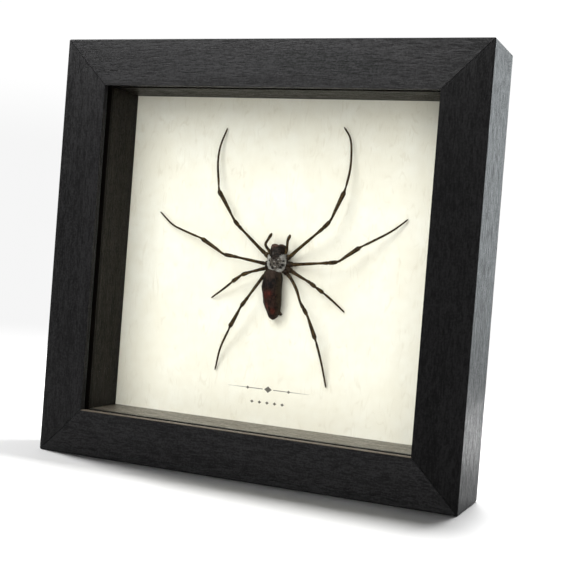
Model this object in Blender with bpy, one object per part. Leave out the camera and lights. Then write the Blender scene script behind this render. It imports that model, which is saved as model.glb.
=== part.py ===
"""A framed spider specimen: a black wooden box frame, its glass, inner spacer strips,
a cream paper panel with one large dried orb weaver on it, and a plain back.

Metres, +Z up. The frame stands on its bottom rail and its picture side faces -Y.
The origin is in the middle of the footprint, on the surface that it stands on.
"""

import math
from collections import namedtuple

import bmesh
import bpy
from mathutils import Matrix, Vector

MM = 0.001

# Outside of the frame
FRAME_WIDTH = 200 * MM
FRAME_HEIGHT = 192 * MM
FRAME_DEPTH = 35 * MM
FACE_WIDTH = 21 * MM
WALL_THICKNESS = 14 * MM
LIP_THICKNESS = 3 * MM
CORNER_RADIUS = 0.7 * MM
ARRIS_RADIUS = 0.5 * MM
MITRE_GAP = 0.2 * MM

# Room between pieces that touch
GAP = 0.3 * MM

# Layers behind the lip, front to back
GLASS_THICKNESS = 3 * MM
PAPER_DEPTH = 31 * MM
PAPER_THICKNESS = 0.8 * MM
BACK_BOARD_THICKNESS = 2 * MM

# Steel points that hold the back board in, two on each rail
POINT_LENGTH = 10 * MM
POINT_WIDTH = 5 * MM
POINT_THICKNESS = 0.5 * MM
POINT_SPACING = 0.45

# Sawtooth hanger on the back of the top rail
HANGER_LENGTH = 44 * MM
HANGER_WIDTH = 8 * MM
HANGER_THICKNESS = 1 * MM
HANGER_TEETH = 9
TOOTHED_PART = 0.6
TOOTH_HEIGHT = 1.6 * MM
NAIL_HEAD_RADIUS = 1.9 * MM
NAIL_HEAD_THICKNESS = 0.7 * MM
NAIL_HEAD_TOP_RADIUS = 1.5 * MM

# Where the layers come to lie
TOTAL_DEPTH = FRAME_DEPTH + GAP + HANGER_THICKNESS + NAIL_HEAD_THICKNESS
FRONT_Y = -TOTAL_DEPTH / 2
RAIL_BACK_Y = FRONT_Y + FRAME_DEPTH
GLASS_Y = FRONT_Y + LIP_THICKNESS + GAP
SPACER_Y = GLASS_Y + GLASS_THICKNESS + GAP
PAPER_Y = FRONT_Y + PAPER_DEPTH
BACK_BOARD_Y = PAPER_Y + PAPER_THICKNESS + GAP
POINT_Y = BACK_BOARD_Y + BACK_BOARD_THICKNESS + GAP
HANGER_Y = RAIL_BACK_Y + GAP
MIDDLE_Z = FRAME_HEIGHT / 2

RABBET_WIDTH = FRAME_WIDTH - 2 * WALL_THICKNESS
RABBET_HEIGHT = FRAME_HEIGHT - 2 * WALL_THICKNESS
SPACER_THICKNESS = FACE_WIDTH - WALL_THICKNESS - GAP

# The spider's waist on the paper, from the middle of the frame
WAIST_ACROSS = 2.3 * MM
WAIST_UP = -4 * MM
BODY_SIDES = 18
LEG_SIDES = 8

# Body sections: how far up from the waist, across, height over the paper,
# half width and half thickness, all in millimetres
CARAPACE = (
    (-0.8, 0.0, 4.4, 1.3, 1.0),
    (0.0, 0.0, 4.4, 3.0, 1.8),
    (1.4, 0.0, 4.6, 4.0, 2.3),
    (3.4, 0.0, 4.8, 4.45, 2.6),
    (5.4, 0.0, 4.9, 4.3, 2.7),
    (7.2, 0.1, 5.1, 3.9, 2.8),
    (8.8, 0.1, 5.2, 3.6, 2.7),
    (10.2, 0.1, 5.2, 3.3, 2.3),
    (11.0, 0.1, 5.0, 2.6, 1.6),
)
ABDOMEN = (
    (1.0, -0.1, 4.4, 1.6, 1.3),
    (-0.4, -0.5, 4.4, 3.2, 2.4),
    (-2.0, -1.0, 4.4, 4.1, 3.1),
    (-4.5, -1.5, 4.5, 4.7, 3.5),
    (-7.2, -1.6, 4.6, 4.8, 3.7),
    (-10.0, -1.4, 4.5, 4.6, 3.6),
    (-12.8, -1.0, 4.3, 4.4, 3.4),
    (-15.6, -0.8, 4.0, 4.0, 3.2),
    (-18.4, -0.7, 3.6, 3.4, 2.8),
    (-20.4, -0.9, 3.2, 2.5, 2.2),
    (-21.6, -1.1, 3.0, 1.5, 1.5),
    (-22.1, -1.2, 2.9, 0.7, 0.7),
)
JAW = (
    (7.5, 1.6, 4.2, 1.3, 1.5),
    (9.0, 1.7, 4.1, 1.8, 2.2),
    (10.6, 1.7, 4.0, 1.95, 2.3),
    (11.4, 1.6, 3.9, 1.7, 2.0),
    (11.8, 1.5, 3.8, 0.9, 1.0),
)
SPINNERETS = (
    (-17.8, 1.0, 3.4, 1.2, 1.2),
    (-19.1, 2.6, 3.3, 0.9, 0.9),
    (-19.8, 3.6, 3.2, 0.5, 0.5),
)

# A leg leaves the body at its hip, and each move is a length and a heading on the paper,
# in millimetres and degrees counted from the right-hand side towards the head
Leg = namedtuple("Leg", "hip thigh knee shin foot knee_lift")
LEGS = (
    Leg((6.0, 7.3), [(21.0, 39)], (4.6, 48), (14.4, 70),
        [(9.3, 84), (8.4, 93), (6.8, 103), (6.0, 126)], 8.5),
    Leg((-6.9, 7.7), [(16.7, 136)], (3.5, 134), (16.5, 126.5), [(12.4, 103.5), (8.9, 91), (8.9, 75)], 8.5),
    Leg((7.7, 3.5), [(18.5, 6)], (4.4, 10), (11.6, 38), [(10.5, 32), (6.3, 35), (6.9, 42)], 8.5),
    Leg((-6.5, 3.0), [(14.1, 171)], (4.7, 174), (14.5, 153), [(11.2, 164), (8.1, 160), (9.5, 144)], 8.5),
    Leg((7.3, 0.3), [(11.4, -22)], (3.3, -33), (3.7, -37), [(6.0, -40), (6.1, -42)], 7.5),
    Leg((-6.4, 0.7), [(7.0, 201)], (3.4, 203), (6.1, 213), [(7.8, 215), (7.4, 214)], 7.5),
    Leg((5.2, -1.2), [(5.5, -40), (9.6, -61), (3.0, -52)], (3.5, -55), (11.2, -69),
        [(11.4, -76), (10.8, -79)], 8.5),
    Leg((-6.0, -2.1), [(14.2, 242)], (3.4, 235), (11.5, 240), [(11.6, 242), (11.3, 254)], 8.5),
)
HIP_LIFT = 3.6
SHIN_DROP = 2.0
TIP_LIFT = 0.8
LIFT_EASE = 0.8

# The hidden start of each leg: a part of the way to the hip from a point up the body's middle
COXA_INSET = 0.45
COXA_UP = 2.0

# Leg thickness: part of the way along the piece of leg, and the radius in millimetres
COXA_RADII = ((0.0, 1.3), (0.7, 1.25))
THIGH_RADII = ((0.0, 1.05), (0.1, 0.85), (0.5, 0.7), (0.85, 0.62), (0.97, 0.85))
KNEE_RADII = ((0.2, 0.9), (0.8, 0.88))
SHIN_RADII = ((0.04, 0.6), (0.35, 0.72), (0.75, 0.92), (0.97, 0.95))
FOOT_RADII = (
    (0.02, 0.52), (0.15, 0.5), (0.3, 0.46), (0.45, 0.42), (0.6, 0.38), (0.72, 0.35),
    (0.82, 0.33), (0.9, 0.31), (0.97, 0.28), (1.0, 0.14),
)

# The two feelers beside the head: up from the waist, across, lift and radius
PALPS = (
    ((7.4, 2.6, 4.4, 0.9), (9.2, 4.1, 4.8, 0.75), (11.6, 4.6, 5.4, 0.62), (14.2, 4.7, 5.4, 0.62),
     (16.2, 5.3, 5.0, 0.66), (16.9, 5.4, 4.9, 0.3)),
    ((7.4, -2.8, 4.4, 0.9), (9.6, -4.9, 4.8, 0.68), (11.6, -6.1, 5.4, 0.6), (14.2, -4.9, 5.4, 0.62),
     (16.3, -3.9, 5.0, 0.66), (17.0, -3.6, 4.9, 0.3)),
)
SMOOTH_ANGLE = math.radians(35)


def clear_scene():
    for thing in list(bpy.data.objects):
        bpy.data.objects.remove(thing, do_unlink=True)


def material(name, colour, roughness, metallic=0.0, alpha=1.0):
    made = bpy.data.materials.new(name)
    made.use_nodes = True
    shader = made.node_tree.nodes["Principled BSDF"]
    shader.inputs["Base Color"].default_value = (*colour, 1.0)
    shader.inputs["Roughness"].default_value = roughness
    shader.inputs["Metallic"].default_value = metallic
    shader.inputs["Alpha"].default_value = alpha
    made.diffuse_color = (*colour, alpha)
    return made


def finish_object(name, bm, finish=None):
    """Turn a bmesh into a named object, with a material unless it is only a tool."""
    bmesh.ops.recalc_face_normals(bm, faces=bm.faces)
    mesh = bpy.data.meshes.new(name)
    bm.to_mesh(mesh)
    bm.free()
    made = bpy.data.objects.new(name, mesh)
    bpy.context.collection.objects.link(made)
    if finish is not None:
        mesh.materials.append(finish)
    return made


def box_mesh(low, high):
    """A bmesh box between two corners."""
    bm = bmesh.new()
    bmesh.ops.create_cube(bm, size=1.0)
    size = Vector(high) - Vector(low)
    bmesh.ops.scale(bm, vec=size, verts=bm.verts)
    bmesh.ops.translate(bm, vec=(Vector(high) + Vector(low)) / 2, verts=bm.verts)
    return bm


def slab(name, width, height, front_y, thickness, finish, middle_x=0.0, middle_z=MIDDLE_Z):
    """A flat plate that stands upright, with its front face at front_y."""
    low = (middle_x - width / 2, front_y, middle_z - height / 2)
    high = (middle_x + width / 2, front_y + thickness, middle_z + height / 2)
    return finish_object(name, box_mesh(low, high), finish)


def join_solid(target, tool, operation):
    """Cut, join or intersect target with tool, and take tool away."""
    change = target.modifiers.new("change", "BOOLEAN")
    change.operation = operation
    change.solver = "EXACT"
    change.object = tool
    seen = bpy.context.evaluated_depsgraph_get()
    shaped = bpy.data.meshes.new_from_object(target.evaluated_get(seen))
    target.modifiers.remove(change)
    target.data = shaped
    bpy.data.objects.remove(tool, do_unlink=True)


def shade_round(shaped):
    shaped.data.shade_smooth()
    shaped.data.set_sharp_from_angle(angle=SMOOTH_ANGLE)


def bevel_edges(bm, chosen, radius, segments):
    bmesh.ops.bevel(
        bm, geom=chosen, offset=radius, segments=segments, profile=0.5, affect="EDGES", material=-1
    )


def frame_ring():
    """The whole frame before it is sawn into rails: outer block less opening and rabbet."""
    low = (-FRAME_WIDTH / 2, FRONT_Y, 0)
    high = (FRAME_WIDTH / 2, RAIL_BACK_Y, FRAME_HEIGHT)
    bm = box_mesh(low, high)
    standing = [e for e in bm.edges if abs(e.verts[0].co.y - e.verts[1].co.y) > FRAME_DEPTH / 2]
    bevel_edges(bm, standing, CORNER_RADIUS, 4)
    front = [e for e in bm.edges if all(abs(v.co.y - FRONT_Y) < GAP for v in e.verts)]
    bevel_edges(bm, front, ARRIS_RADIUS, 3)
    ring = finish_object("frame_ring", bm)

    opening = box_mesh(
        (-FRAME_WIDTH / 2 + FACE_WIDTH, FRONT_Y - GAP, FACE_WIDTH),
        (FRAME_WIDTH / 2 - FACE_WIDTH, RAIL_BACK_Y + GAP, FRAME_HEIGHT - FACE_WIDTH),
    )
    join_solid(ring, finish_object("opening_cutter", opening), "DIFFERENCE")
    rabbet = box_mesh(
        (-RABBET_WIDTH / 2, FRONT_Y + LIP_THICKNESS, WALL_THICKNESS),
        (RABBET_WIDTH / 2, RAIL_BACK_Y + GAP, FRAME_HEIGHT - WALL_THICKNESS),
    )
    join_solid(ring, finish_object("rabbet_cutter", rabbet), "DIFFERENCE")
    return ring


def mitre_wedge(length, reach, turn):
    """The room that one rail fills: a prism whose ends are cut at 45 degrees.

    length is the rail's outer length, reach the distance from the frame's middle to
    its outer side, and turn the rail's place round the frame, 0 for the top.
    """
    bm = box_mesh((-1, FRONT_Y - GAP, -1), (1, RAIL_BACK_Y + GAP, 1))
    outside = reach + FACE_WIDTH
    inside = reach - 2 * FACE_WIDTH
    for vert in bm.verts:
        height = outside if vert.co.z > 0 else inside
        half_length = length / 2 - (reach - height) - MITRE_GAP / math.sqrt(2)
        vert.co.x = math.copysign(half_length, vert.co.x)
        vert.co.z = height
    place = Matrix.Translation((0, 0, MIDDLE_Z)) @ Matrix.Rotation(turn, 4, "Y")
    bmesh.ops.transform(bm, matrix=place, verts=bm.verts)
    return finish_object("mitre_wedge", bm)


def rails(finish):
    """Four rails sawn from the ring, with mitred ends."""
    ring = frame_ring()
    quarter = math.pi / 2
    sides = (
        ("rail_top", FRAME_WIDTH, FRAME_HEIGHT / 2, 0),
        ("rail_right", FRAME_HEIGHT, FRAME_WIDTH / 2, quarter),
        ("rail_bottom", FRAME_WIDTH, FRAME_HEIGHT / 2, 2 * quarter),
        ("rail_left", FRAME_HEIGHT, FRAME_WIDTH / 2, 3 * quarter),
    )
    for name, length, reach, turn in sides:
        rail = bpy.data.objects.new(name, ring.data.copy())
        bpy.context.collection.objects.link(rail)
        join_solid(rail, mitre_wedge(length, reach, turn), "INTERSECT")
        rail.data.name = name
        rail.data.materials.append(finish)
        shade_round(rail)
    bpy.data.objects.remove(ring, do_unlink=True)


def glazing(finish):
    slab("glass", RABBET_WIDTH - 2 * GAP, RABBET_HEIGHT - 2 * GAP, GLASS_Y, GLASS_THICKNESS, finish)


def spacers(finish):
    """Four strips round the inside wall, which hold the glass and the paper apart."""
    deep = PAPER_Y - GAP - SPACER_Y
    aside = RABBET_WIDTH / 2 - GAP - SPACER_THICKNESS / 2
    above = RABBET_HEIGHT / 2 - GAP - SPACER_THICKNESS / 2
    upright = RABBET_HEIGHT - 2 * GAP
    between = RABBET_WIDTH - 2 * (2 * GAP + SPACER_THICKNESS)
    for name, side in (("spacer_left", -1), ("spacer_right", 1)):
        slab(name, SPACER_THICKNESS, upright, SPACER_Y, deep, finish, middle_x=side * aside)
    for name, side in (("spacer_bottom", -1), ("spacer_top", 1)):
        slab(name, between, SPACER_THICKNESS, SPACER_Y, deep, finish, middle_z=MIDDLE_Z + side * above)


def panel_and_back(paper, board):
    width = RABBET_WIDTH - 2 * GAP
    height = RABBET_HEIGHT - 2 * GAP
    slab("paper_panel", width, height, PAPER_Y, PAPER_THICKNESS, paper)
    slab("back_board", width, height, BACK_BOARD_Y, BACK_BOARD_THICKNESS, board)


def board_points(steel):
    """Flat steel points, pushed out of the rails over the edge of the back board."""
    reach_x = RABBET_WIDTH / 2 - GAP - POINT_LENGTH / 2
    reach_z = RABBET_HEIGHT / 2 - GAP - POINT_LENGTH / 2
    for number, along in enumerate((-1, 1), start=1):
        aside = along * RABBET_WIDTH * POINT_SPACING / 2
        above = along * RABBET_HEIGHT * POINT_SPACING / 2
        for name, side in (("bottom", -1), ("top", 1)):
            slab(f"point_{name}_{number}", POINT_WIDTH, POINT_LENGTH, POINT_Y, POINT_THICKNESS, steel,
                 middle_x=aside, middle_z=MIDDLE_Z + side * reach_z)
        for name, side in (("left", -1), ("right", 1)):
            slab(f"point_{name}_{number}", POINT_LENGTH, POINT_WIDTH, POINT_Y, POINT_THICKNESS, steel,
                 middle_x=side * reach_x, middle_z=MIDDLE_Z + above)


def hanger(steel):
    """A sawtooth plate on the back of the top rail, with its two nail heads."""
    half = HANGER_LENGTH / 2
    top = FRAME_HEIGHT - (WALL_THICKNESS - HANGER_WIDTH) / 2
    bottom = top - HANGER_WIDTH
    toothed = HANGER_LENGTH * TOOTHED_PART
    step = toothed / (2 * HANGER_TEETH)
    outline = [(-half, top), (half, top), (half, bottom)]
    for number in range(2 * HANGER_TEETH + 1):
        raised = TOOTH_HEIGHT if number % 2 else 0.0
        outline.append((toothed / 2 - number * step, bottom + raised))
    outline.append((-half, bottom))

    bm = bmesh.new()
    face = bm.faces.new([bm.verts.new((x, HANGER_Y, z)) for x, z in outline])
    grown = bmesh.ops.extrude_face_region(bm, geom=[face])
    verts = [g for g in grown["geom"] if isinstance(g, bmesh.types.BMVert)]
    bmesh.ops.translate(bm, vec=(0, HANGER_THICKNESS, 0), verts=verts)
    plate = finish_object("hanger", bm, steel)

    sunk = HANGER_THICKNESS / 2
    tall = NAIL_HEAD_THICKNESS + sunk
    middle_y = HANGER_Y + sunk + tall / 2
    facing_back = Matrix.Rotation(-math.pi / 2, 4, "X")
    for side in (-1, 1):
        middle_x = side * (half - HANGER_WIDTH / 2)
        place = Matrix.Translation((middle_x, middle_y, (top + bottom) / 2))
        bm = bmesh.new()
        bmesh.ops.create_cone(
            bm, cap_ends=True, segments=16, radius1=NAIL_HEAD_RADIUS, radius2=NAIL_HEAD_TOP_RADIUS,
            depth=tall, matrix=place @ facing_back,
        )
        join_solid(plate, finish_object("nail_head", bm), "UNION")
    shade_round(plate)


def on_paper(across, up, lift):
    """A point over the paper, in millimetres from the spider's waist."""
    return Vector((
        WAIST_ACROSS + across * MM,
        PAPER_Y - lift * MM,
        MIDDLE_Z + WAIST_UP + up * MM,
    ))


def section_places(stations):
    """One matrix for each (centre, half width, half thickness), square to the way along."""
    away = Vector((0, -1, 0))
    places = []
    for number, (centre, half_width, half_thick) in enumerate(stations):
        before = stations[max(number - 1, 0)][0]
        after = stations[min(number + 1, len(stations) - 1)][0]
        along = (after - before).normalized()
        wide = along.cross(away).normalized()
        thick = wide.cross(along)
        turn = Matrix((wide, thick, along)).transposed().to_4x4()
        size = Matrix.Diagonal((half_width, half_thick, 1, 1))
        places.append(Matrix.Translation(centre) @ turn @ size)
    return places


def sweep(name, stations, sides):
    """A closed solid that carries an oval section through the stations."""
    places = section_places(stations)
    bm = bmesh.new()
    bmesh.ops.create_circle(bm, cap_ends=True, segments=sides, radius=1.0, matrix=places[0])
    end = bm.faces[:][0]
    inner = []
    for before, after in zip(places, places[1:]):
        grown = bmesh.ops.extrude_face_region(bm, geom=[end])["geom"]
        verts = [g for g in grown if isinstance(g, bmesh.types.BMVert)]
        bmesh.ops.transform(bm, matrix=after @ before.inverted(), verts=verts)
        end = next(g for g in grown if isinstance(g, bmesh.types.BMFace))
        inner.append(end)
    bmesh.ops.delete(bm, geom=inner[:-1], context="FACES_ONLY")
    return finish_object(name, bm)


def body_stations(rows, mirror=1):
    return [
        (on_paper(mirror * across, up, lift), wide * MM, thick * MM)
        for up, across, lift, wide, thick in rows
    ]


def walk(start, moves):
    """The points reached from start by moves of a length and a heading in degrees."""
    points = [Vector(start)]
    for length, heading in moves:
        turn = math.radians(heading)
        points.append(points[-1] + length * Vector((math.cos(turn), math.sin(turn))))
    return points


def along_curve(points, part):
    """A point on the smooth curve through points, at a part of its length."""
    legs = [(b - a).length for a, b in zip(points, points[1:])]
    far = part * sum(legs)
    number = 0
    while number < len(legs) - 1 and far > legs[number]:
        far -= legs[number]
        number += 1
    t = far / legs[number]
    a, b = points[number], points[number + 1]
    before = points[number - 1] if number else 2 * a - b
    after = points[number + 2] if number + 2 < len(points) else 2 * b - a
    pull_a = (b - before) / 2
    pull_b = (after - a) / 2
    return (
        a * (2 * t**3 - 3 * t**2 + 1) + pull_a * (t**3 - 2 * t**2 + t)
        + b * (3 * t**2 - 2 * t**3) + pull_b * (t**3 - t**2)
    )


def leg_stations(leg):
    """Sections from inside the body, out over the knee and down to the tip of the foot."""
    hip = Vector(leg.hip)
    coxa = [COXA_INSET * hip + Vector((0, COXA_UP)), hip]
    thigh = walk(leg.hip, leg.thigh)
    knee = walk(thigh[-1], [leg.knee])
    shin = walk(knee[-1], [leg.shin])
    foot = walk(shin[-1], leg.foot)
    shin_end = leg.knee_lift - SHIN_DROP
    pieces = (
        (coxa, COXA_RADII, HIP_LIFT, HIP_LIFT),
        (thigh, THIGH_RADII, HIP_LIFT, leg.knee_lift),
        (knee, KNEE_RADII, leg.knee_lift, leg.knee_lift),
        (shin, SHIN_RADII, leg.knee_lift, shin_end),
        (foot, FOOT_RADII, shin_end, TIP_LIFT),
    )
    stations = []
    for points, radii, lift_from, lift_to in pieces:
        for part, radius in radii:
            spot = along_curve(points, part)
            lift = lift_from + (lift_to - lift_from) * part**LIFT_EASE
            stations.append((on_paper(spot.x, spot.y, lift), radius * MM, radius * MM))
    return stations


def spider(finish):
    """The whole animal as one solid: body, jaws, feelers, spinnerets and eight legs."""
    animal = sweep("spider", body_stations(CARAPACE), BODY_SIDES)
    grown = [sweep("abdomen", body_stations(ABDOMEN), BODY_SIDES)]
    grown += [sweep("jaw", body_stations(JAW, side), LEG_SIDES + 2) for side in (-1, 1)]
    grown.append(sweep("spinnerets", body_stations(SPINNERETS), LEG_SIDES))
    for palp in PALPS:
        rows = [(on_paper(across, up, lift), r * MM, r * MM) for up, across, lift, r in palp]
        grown.append(sweep("palp", rows, LEG_SIDES))
    grown += [sweep("leg", leg_stations(leg), LEG_SIDES) for leg in LEGS]
    for limb in grown:
        join_solid(animal, limb, "UNION")
    animal.data.materials.append(finish)
    shade_round(animal)


def build():
    clear_scene()
    black_wood = material("black_wood", (0.028, 0.028, 0.030), 0.5)
    spacer_wood = material("spacer_wood", (0.035, 0.032, 0.028), 0.6)
    clear_glass = material("clear_glass", (0.95, 0.98, 0.97), 0.03, alpha=0.12)
    cream_paper = material("cream_paper", (0.86, 0.84, 0.76), 0.9)
    brown_board = material("brown_board", (0.30, 0.20, 0.12), 0.8)
    steel = material("steel", (0.55, 0.55, 0.56), 0.35, metallic=1.0)
    dried_spider = material("dried_spider", (0.045, 0.025, 0.018), 0.55)
    rails(black_wood)
    glazing(clear_glass)
    spacers(spacer_wood)
    panel_and_back(cream_paper, brown_board)
    board_points(steel)
    hanger(steel)
    spider(dried_spider)


build()
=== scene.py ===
import math
import random
from collections import namedtuple

import bmesh
import bpy
from mathutils import Matrix, Vector, noise


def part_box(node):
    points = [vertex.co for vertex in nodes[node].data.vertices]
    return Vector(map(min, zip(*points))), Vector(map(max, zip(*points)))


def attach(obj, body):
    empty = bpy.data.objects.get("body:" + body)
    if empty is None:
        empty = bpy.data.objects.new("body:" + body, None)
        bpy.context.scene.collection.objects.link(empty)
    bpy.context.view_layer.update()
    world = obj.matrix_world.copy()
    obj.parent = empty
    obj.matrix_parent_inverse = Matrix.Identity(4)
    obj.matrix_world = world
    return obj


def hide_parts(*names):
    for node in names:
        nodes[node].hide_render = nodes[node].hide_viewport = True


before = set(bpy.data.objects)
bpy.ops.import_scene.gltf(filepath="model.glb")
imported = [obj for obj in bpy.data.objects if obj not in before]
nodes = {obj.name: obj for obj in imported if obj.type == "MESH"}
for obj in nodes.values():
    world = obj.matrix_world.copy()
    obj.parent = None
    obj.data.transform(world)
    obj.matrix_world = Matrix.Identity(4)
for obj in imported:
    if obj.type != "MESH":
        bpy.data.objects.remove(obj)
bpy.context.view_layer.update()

MM = 0.001
random.seed(11)

# The frame's height and middle, and the face of the paper
FRAME_HEIGHT = 192 * MM
MIDDLE_Z = FRAME_HEIGHT / 2
PAPER_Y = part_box("paper_panel")[0].y

# The spider's waist on the paper, from the middle of the frame
WAIST_ACROSS = 2.3 * MM
WAIST_UP = -4 * MM

# Body sections: how far up from the waist, across, height over the paper,
# half width and half thickness, all in millimetres
CARAPACE = (
    (-0.8, 0.0, 4.4, 1.3, 1.0),
    (0.0, 0.0, 4.4, 3.0, 1.8),
    (1.4, 0.0, 4.6, 4.0, 2.3),
    (3.4, 0.0, 4.8, 4.45, 2.6),
    (5.4, 0.0, 4.9, 4.3, 2.7),
    (7.2, 0.1, 5.1, 3.9, 2.8),
    (8.8, 0.1, 5.2, 3.6, 2.7),
    (10.2, 0.1, 5.2, 3.3, 2.3),
    (11.0, 0.1, 5.0, 2.6, 1.6),
    (11.3, 0.1, 4.9, 1.5, 0.9),
    (11.4, 0.1, 4.9, 0.4, 0.3),
)
ABDOMEN = (
    (1.0, -0.1, 4.4, 1.6, 1.3),
    (-0.4, -0.5, 4.4, 3.2, 2.4),
    (-2.0, -1.0, 4.4, 4.1, 3.1),
    (-4.5, -1.5, 4.5, 4.7, 3.5),
    (-7.2, -1.6, 4.6, 4.8, 3.7),
    (-10.0, -1.4, 4.5, 4.6, 3.6),
    (-12.8, -1.0, 4.3, 4.4, 3.4),
    (-15.6, -0.8, 4.0, 4.0, 3.2),
    (-18.4, -0.7, 3.6, 3.4, 2.8),
    (-20.4, -0.9, 3.2, 2.5, 2.2),
    (-21.6, -1.1, 3.0, 1.5, 1.5),
    (-22.1, -1.2, 2.9, 0.7, 0.7),
)
JAW = (
    (7.5, 1.6, 4.2, 1.3, 1.5),
    (9.0, 1.7, 4.1, 1.8, 2.2),
    (10.6, 1.65, 4.0, 2.0, 2.3),
    (11.5, 1.6, 3.9, 1.85, 2.0),
    (11.8, 1.6, 3.8, 1.4, 1.3),
)
FANG = (
    (10.9, 1.5, 2.4, 0.5, 0.45),
    (11.0, 1.0, 1.8, 0.42, 0.38),
    (10.7, 0.6, 1.4, 0.3, 0.28),
    (10.2, 0.2, 1.2, 0.1, 0.1),
)
SPINNERETS = (
    (-17.8, 1.0, 3.4, 1.2, 1.2),
    (-19.1, 2.6, 3.3, 0.9, 0.9),
    (-19.8, 3.6, 3.2, 0.5, 0.5),
)
BODY_SIDES = 48
JAW_SIDES = 24
FANG_SIDES = 12
BODY_STEP = 0.45 * MM

# Folds of the dry skin: depth, spacing across and along the body, and where the pattern starts
ABDOMEN_FOLDS = (0.45 * MM, 1.9 * MM, 5.5 * MM, 3.0)
ABDOMEN_CREASES = (0.16 * MM, 0.7 * MM, 1.4 * MM, 8.0)
CARAPACE_FOLDS = (0.15 * MM, 1.2 * MM, 1.8 * MM, 5.0)

# Four of the eight eyes, which the other side repeats: up, across, lift and radius
EYES = (
    (11.15, 0.55, 6.0, 0.27), (10.6, 0.8, 6.85, 0.27),
    (10.9, 2.15, 5.8, 0.22), (10.3, 2.45, 6.5, 0.22),
)
EYE_SEGMENTS = 12
EYE_RINGS = 8

# A leg leaves the body at its hip, a place across and up from the waist. Each move after it is
# a length and a heading on the paper, in millimetres and in degrees counted from the right-hand
# side towards the head. The last value is the knee's height over the paper
Leg = namedtuple("Leg", "hip thigh knee shin foot knee_lift")
LEGS = (
    Leg((6.0, 7.3), [(21.0, 39)], (4.6, 48), (14.4, 70),
        [(9.3, 84), (8.4, 93), (6.8, 103), (6.0, 126)], 8.5),
    Leg((-6.9, 7.7), [(16.7, 136)], (3.5, 134), (16.5, 126.5),
        [(12.4, 103.5), (8.9, 91), (8.9, 75)], 8.5),
    Leg((7.7, 3.5), [(18.5, 6)], (4.4, 10), (11.6, 38),
        [(10.5, 32), (6.3, 35), (6.9, 42)], 8.5),
    Leg((-6.5, 3.0), [(14.1, 171)], (4.7, 174), (14.5, 153),
        [(11.2, 164), (8.1, 160), (9.5, 144)], 8.5),
    Leg((7.3, 0.3), [(11.4, -22)], (3.3, -33), (3.7, -37),
        [(6.0, -40), (6.1, -42)], 7.5),
    Leg((-6.4, 0.7), [(7.0, 201)], (3.4, 203), (6.1, 213),
        [(7.8, 215), (7.4, 214)], 7.5),
    Leg((5.2, -1.2), [(5.5, -40), (9.6, -61), (3.0, -52)], (3.5, -55), (11.2, -69),
        [(11.4, -76), (10.8, -79)], 8.5),
    Leg((-6.0, -2.1), [(14.2, 242)], (3.4, 235), (11.5, 240),
        [(11.6, 242), (11.3, 254)], 8.5),
)

# Heights over the paper: the hip, how far the shin comes down, and the tip of the foot
HIP_LIFT = 3.6
SHIN_DROP = 2.0
TIP_LIFT = 0.8
# Below 1, a piece of leg rises or falls faster near its start
LIFT_EASE = 0.8
# A leg starts inside the body, at this part of the way to its hip and so far up
COXA_INSET = 0.45
COXA_UP = 2.0
LEG_SIDES = 14
LEG_STEP = 0.4 * MM

# Leg thickness: part of the way along the piece of leg, and the radius in millimetres
COXA_RADII = ((0.0, 1.3), (0.7, 1.25))
THIGH_RADII = ((0.0, 1.05), (0.1, 0.85), (0.5, 0.7), (0.85, 0.62), (0.97, 0.85))
KNEE_RADII = ((0.2, 0.9), (0.8, 0.88))
SHIN_RADII = ((0.04, 0.6), (0.35, 0.72), (0.75, 0.92), (0.97, 0.95))
FOOT_RADII = (
    (0.02, 0.55), (0.15, 0.54), (0.3, 0.51), (0.45, 0.48), (0.6, 0.45), (0.72, 0.42),
    (0.82, 0.39), (0.9, 0.36), (0.97, 0.32), (1.0, 0.16),
)
# At a joint the leg narrows by this part, over this length
JOINT_PINCH = 0.3
JOINT_LENGTH = 0.35 * MM

# The two feelers beside the head: up from the waist, across, lift and radius
PALPS = (
    ((7.4, 2.6, 4.4, 0.9), (9.2, 4.1, 4.8, 0.75), (11.6, 4.6, 5.4, 0.62), (14.2, 4.7, 5.4, 0.62),
     (16.2, 5.3, 5.0, 0.66), (16.9, 5.4, 4.9, 0.3)),
    ((7.4, -2.8, 4.4, 0.9), (9.6, -4.9, 4.8, 0.68), (11.6, -6.1, 5.4, 0.6), (14.2, -4.9, 5.4, 0.62),
     (16.3, -3.9, 5.0, 0.66), (17.0, -3.6, 4.9, 0.3)),
)

# Hairs, with lengths in millimetres. The first stations of a leg or feeler stay bare
BARE_STATIONS = 6
BRISTLES_A_RING = 4
BRISTLE_LENGTH = (0.35, 0.7)
BRISTLE_RADIUS = 0.022 * MM
DOWN_COUNT = 2600
DOWN_TUFT = 20
DOWN_LENGTH = (0.4, 0.8)
DOWN_RADIUS = 0.045 * MM
# A hair of the down reaches this much further up than its root, in millimetres
DOWN_LEAN = 0.6
# Inside the rim of the carapace only this share of the hairs is kept
INNER_SHARE = 0.15
# Points of hairs closer than this are one point
SAME_POINT = 0.001 * MM

# Markings, all in millimetres from the waist, and through the whole depth of the animal. The
# silver part of the carapace has a bright rim outside an oval with this middle and reach
THROUGH = 1000.0
RIM_MIDDLE = (0.1, 0.0, 3.9)
RIM_REACH = (4.5, THROUGH, 4.9)
# The share of that reach at which the thick down of the rim starts
RIM_START = 0.65

# The dark bay in its hind edge: across, up, half width and half height
HIND_NOTCH = (-0.5, -0.6, 1.9, 1.3)

# Dark spots on the carapace: across, up and radius
DARK_SPOTS = (
    (-3.0, 4.7, 0.55), (-2.3, 2.8, 0.7), (-1.2, 1.4, 0.8),
    (-1.3, 5.6, 0.5), (0.6, 5.0, 0.55), (-0.4, 3.3, 0.5), (1.2, 3.5, 0.55),
    (3.7, 4.7, 0.6), (3.5, 2.9, 0.85), (2.7, 1.7, 0.8),
)

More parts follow.
